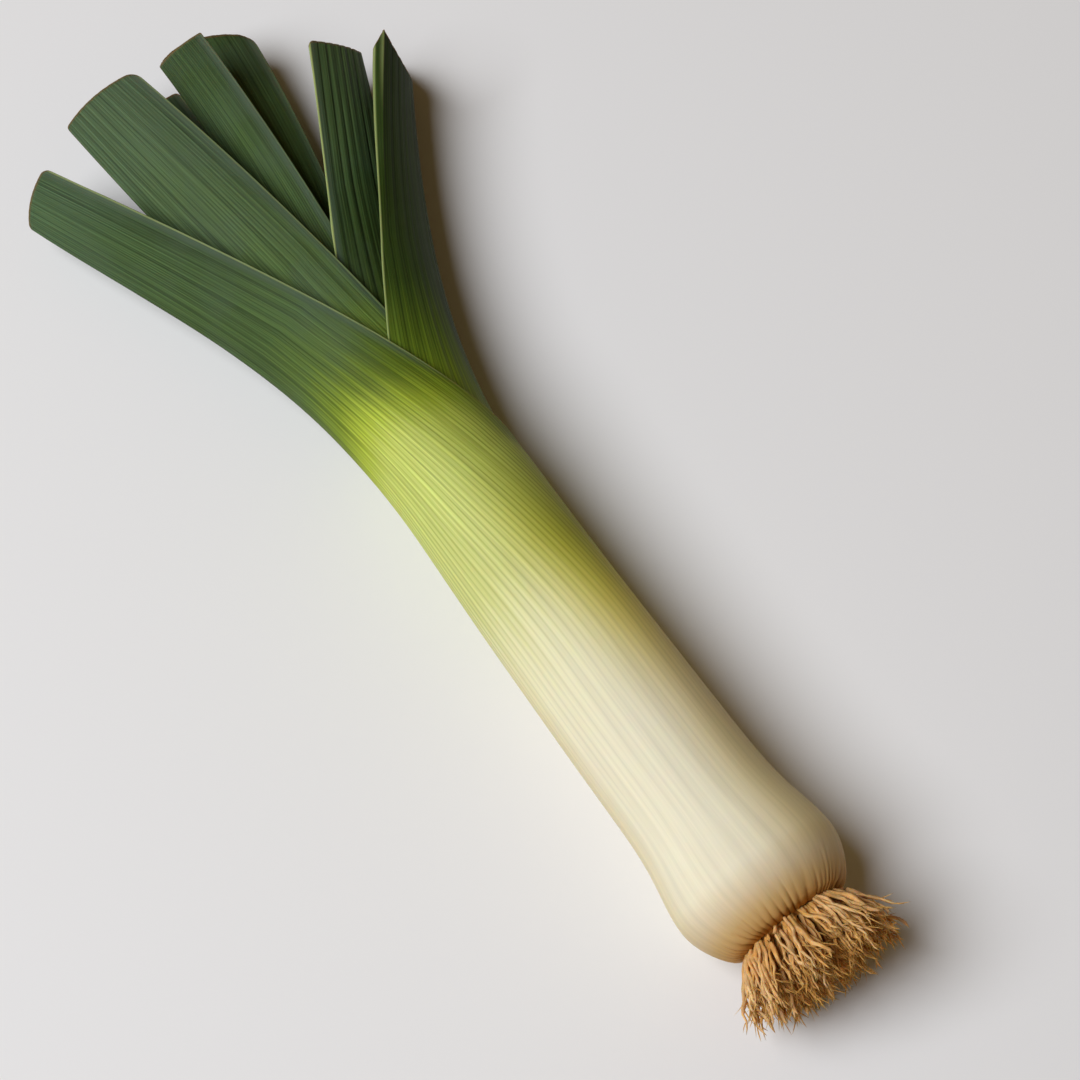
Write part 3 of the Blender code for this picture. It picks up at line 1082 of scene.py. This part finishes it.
bm = bmesh.new()
bmesh.ops.create_icosphere(bm, subdivisions=5, radius=1)
for vert in bm.verts:
    lump = 1 + 0.07 * noise.noise(vert.co * 4.5) + 0.04 * noise.noise(vert.co * 13)
    y, z = (PLATE_REACH * min(lump, 1.02) * n for n in vert.co.yz)
    vert.co = (PLATE_AT + PLATE_HALF_DEPTH * vert.co.x * lump**2, AXIS_OFFSET + y, z)
plate_drawing = bm
print("root plate:", len(bm.faces), "faces")

# %% [markdown]
# ## The beard of roots
#
# A leek has a hundred or more thin roots. The frame holds the main ones, one node each. Here every main
# root gets its wavy, tapering, slightly flattened skin, and fourteen finer roots that leave the plate
# near it, so that together they make a beard with no gaps. The main ones keep to the places and lengths
# that the frame gives them: turned from one to the next by the angle that seeds in a sunflower's head
# keep. The finer ones gather into tufts, and each strand has two short side hairs near its end.
#
# Curves with a bevel would do, but a small grid wrapped round each route gives closed tips and lets every
# point keep its own tone. Each root has a few dozen faces, because there are so many of them.

# %% A root's route
ROOTS = 36
FINE_ROOTS = 14  # beside each main one
TUFTS = 9  # the fine ones gather into this many, round the beard
ROOT_TURN = math.radians(137.5)
ROOT_LENGTH = 23.0
ROOT_RIM = 14.1  # the outermost roots leave the plate this far out, against the ring
ROOT_STEPS = 12
STRAND_SIDES = 5
MAIN_RADIUS = 0.82
TUFT_PULL = 0.09  # how far round a fine root moves towards its tuft
HAIR_STEPS = 4
HAIR_RADIUS = 0.22
HAIR_SPREAD = 1.6


def strand_route(angle, share, length, seed):
    """A root's points, from inside the plate to its tip. share is how far out on the plate it starts."""
    outward = Vector((0, math.cos(angle), math.sin(angle)))
    sideways = Vector((0, -math.sin(angle), math.cos(angle)))
    point = Vector((0.9 - 2.2 * (1 - share**2), AXIS_OFFSET, 0)) + outward * ROOT_RIM * share
    points = [point.copy()]
    for step in range(1, ROOT_STEPS + 1):
        along = step / ROOT_STEPS
        lean = math.radians(44 - 26 * along) * share
        drift = noise.noise_vector(Vector((seed * 1.7, along * 1.7, 3.0))) * (0.3 + 0.6 * along)
        kink = noise.noise_vector(Vector((seed * 2.3, along * 5.5, 9.0))) * (0.45 + 0.9 * along)
        heading = Vector((-math.cos(lean), 0, 0)) + outward * math.sin(lean)
        heading += sideways * (0.8 * drift.x + kink.x) + outward * (0.5 * drift.y + 0.8 * kink.y)
        point = point + heading.normalized() * length / ROOT_STEPS
        point.z = max(point.z, 0.6 - BULB_RADIUS)
        points.append(point.copy())
    return points


print("a root's tip:", [round(n, 1) for n in strand_route(0.0, 1.0, ROOT_LENGTH, 1.0)[-1]])

# %% One root's skin
def add_strand(bm, points, radius, tone, sides=STRAND_SIDES):
    """Wraps a small grid round the route: along it in one direction, round it in the other."""
    memory = {name: bm.verts.layers.float[name] for name in ("tone", "along", "turn")}
    steps = len(points) - 1
    made = bmesh.ops.create_grid(bm, x_segments=steps, y_segments=sides, size=1)["verts"]
    seed = points[0].y * 3 + points[0].z * 5 + radius * 40
    for vert in made:
        step = round((vert.co.x + 1) / 2 * steps)
        along = step / steps
        ahead = points[min(step + 1, steps)] - points[max(step - 1, 0)]
        flat = ahead.cross(Vector((math.sin(seed), math.cos(seed), 0.4))).normalized()
        thin = ahead.cross(flat).normalized()
        knots = 1 + 0.22 * noise.noise(Vector((seed, along * 7, 0)))
        thickness = 0 if step in (0, steps) else radius * knots * (1 - 0.62 * along**2)
        turn = math.pi * vert.co.y
        vert[memory["tone"]] = tone
        vert[memory["along"]] = along
        vert[memory["turn"]] = abs(vert.co.y)
        vert.co = points[step] + (flat * math.cos(turn) * 1.25 + thin * math.sin(turn) * 0.75) * thickness


print("a strand has", ROOT_STEPS * STRAND_SIDES, "faces")

# %% One root with its fine ones
def strand_start(index, number):
    """Where a strand leaves the plate, and its length, radius and tone. Number 0 is the main root."""
    luck = noise.noise_vector(Vector((index * 1.31, number * 2.17, 5.5)))
    share = math.sqrt((index + 0.5) / ROOTS)
    turned = index * ROOT_TURN
    if number == 0:
        length = ROOT_LENGTH * (0.90 + 0.10 * math.cos(2.4 * index))
        return turned, share**0.8, length, MAIN_RADIUS, 0.8 + 0.3 * luck.z
    spot = min(1.0, math.sqrt(max(0, share**1.6 + 0.4 * luck.x)))
    turned = turned + 1.1 * (number / FINE_ROOTS - 0.5) + 0.5 * luck.y
    tuft = TUFTS * turned + 0.8
    length = ROOT_LENGTH * (0.80 + 0.13 * math.cos(tuft) + 0.28 * luck.z)
    radius = 0.42 + 0.24 * spot**2 + 0.26 * luck.y
    # paler for strands from the plate's rim: painted light outside the beard, painted shade inside; the
    # rest at random
    tone = 0.36 + 0.3 * spot**3 + 0.42 * luck.x
    return turned - TUFT_PULL * math.sin(tuft), spot, length, radius, tone


def side_hair(points, branch, aside):
    """A short hair that leaves the strand at one of its steps and bends away."""
    onward = (points[branch + 1] - points[branch]).normalized() + aside
    hair = [
        points[branch] + onward * n * 0.9 + aside.cross(onward) * 0.12 * n * n
        for n in range(HAIR_STEPS + 1)
    ]
    for point in hair:
        point.z = max(point.z, 0.4 - BULB_RADIUS)
    return hair


def root_drawing(index):
    """A main root and the finer ones beside it."""
    bm = bmesh.new()
    for name in ("tone", "along", "turn"):
        bm.verts.layers.float.new(name)
    for number in range(FINE_ROOTS + 1):
        turned, spot, length, radius, tone = strand_start(index, number)
        points = strand_route(turned, spot, length, index + 40.0 * number)
        add_strand(bm, points, radius, tone)
        for branch in (8, 10):
            aside = noise.noise_vector(Vector((index * 0.7, number * 1.9, branch * 3.3))) * HAIR_SPREAD
            hair = side_hair(points, branch, aside)
            add_strand(bm, hair, HAIR_RADIUS, tone - 0.22, sides=3)
    bmesh.ops.remove_doubles(bm, verts=bm.verts, dist=1e-4)
    bmesh.ops.recalc_face_normals(bm, faces=bm.faces)
    return bm


trial = root_drawing(0)
open_edges = sum(not edge.is_manifold for edge in trial.edges)
print("one root and its fine ones:", len(trial.faces), "faces,", open_edges, "open edges")
trial.free()

# %% [markdown]
# ## The roots' finish
#
# Dry roots are tan and a deep orange-brown. Strands from the plate's rim, on the outside of the beard,
# get a paler tone and those from nearer its middle a darker one: painted light outside the beard and
# painted shade inside it. Each root also has a tone of its own at random, grows paler from the plate to
# its tip, and has fine lengthwise wrinkles. Roots this thin let some light through, which is what makes
# the beard glow. The dry plate takes the same finish.

# %% The roots' finish
ROOT_COLOURS = [
    (0.1, (0.42, 0.18, 0.03)),
    (0.55, (0.62, 0.31, 0.075)),
    (1.0, (0.79, 0.50, 0.225)),
]


def root_finish(name, spread):
    """spread says how much a root's own tone changes its colour."""
    finish, tree, shader = new_finish(name)
    tone, along, turn = (
        add(tree, "ShaderNodeAttribute", attribute_name=label).outputs["Fac"]
        for label in ("tone", "along", "turn")
    )
    on_strand = add(
        tree,
        "ShaderNodeCombineXYZ",
        {"X": product(tree, turn, 4.0), "Y": product(tree, along, 7.0), "Z": product(tree, tone, 31.0)},
    )
    wrinkles = noise_value(tree, on_strand.outputs[0], 1.0, 3.0)
    grain = noise_value(tree, add(tree, "ShaderNodeTexCoord").outputs["Object"], 420.0, 3.0)
    paler = calc(tree, "MULTIPLY_ADD", tone, spread, 0.12)
    paler = calc(tree, "MULTIPLY_ADD", along, 0.2 * spread, paler)
    mixed = calc(tree, "MULTIPLY_ADD", calc(tree, "SUBTRACT", wrinkles, 0.5), 0.7, paler)
    colour = ramp_colour(tree, mixed, ROOT_COLOURS)
    colour = shade(tree, colour, fade(tree, grain, 0.3, 0.7, 0.8, 1.15), 1.0)
    roughness = fade(tree, grain, 0.3, 0.7, 0.55, 0.8)
    height = calc(tree, "ADD", wrinkles, product(tree, grain, 0.5))
    connect(tree, shader, colour, roughness, height, 0.5)
    shader.inputs["Specular IOR Level"].default_value = 0.15
    let_light_in(shader, 0.35, (1.0, 0.4, 0.12), 0.0015)
    return finish


dry_root = root_finish("dry_root", 0.75)
plate = new_piece("root_plate_skin", plate_drawing, root_finish("dry_plate", 0.3))
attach(plate, "root")
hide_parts("root_plate")
for index in range(ROOTS):
    node = f"root_{index + 1:02d}"
    root = new_piece(node + "_skin", root_drawing(index), dry_root)
    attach(root, "root")
    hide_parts(node)
print("roots:", ROOTS * (FINE_ROOTS + 1))
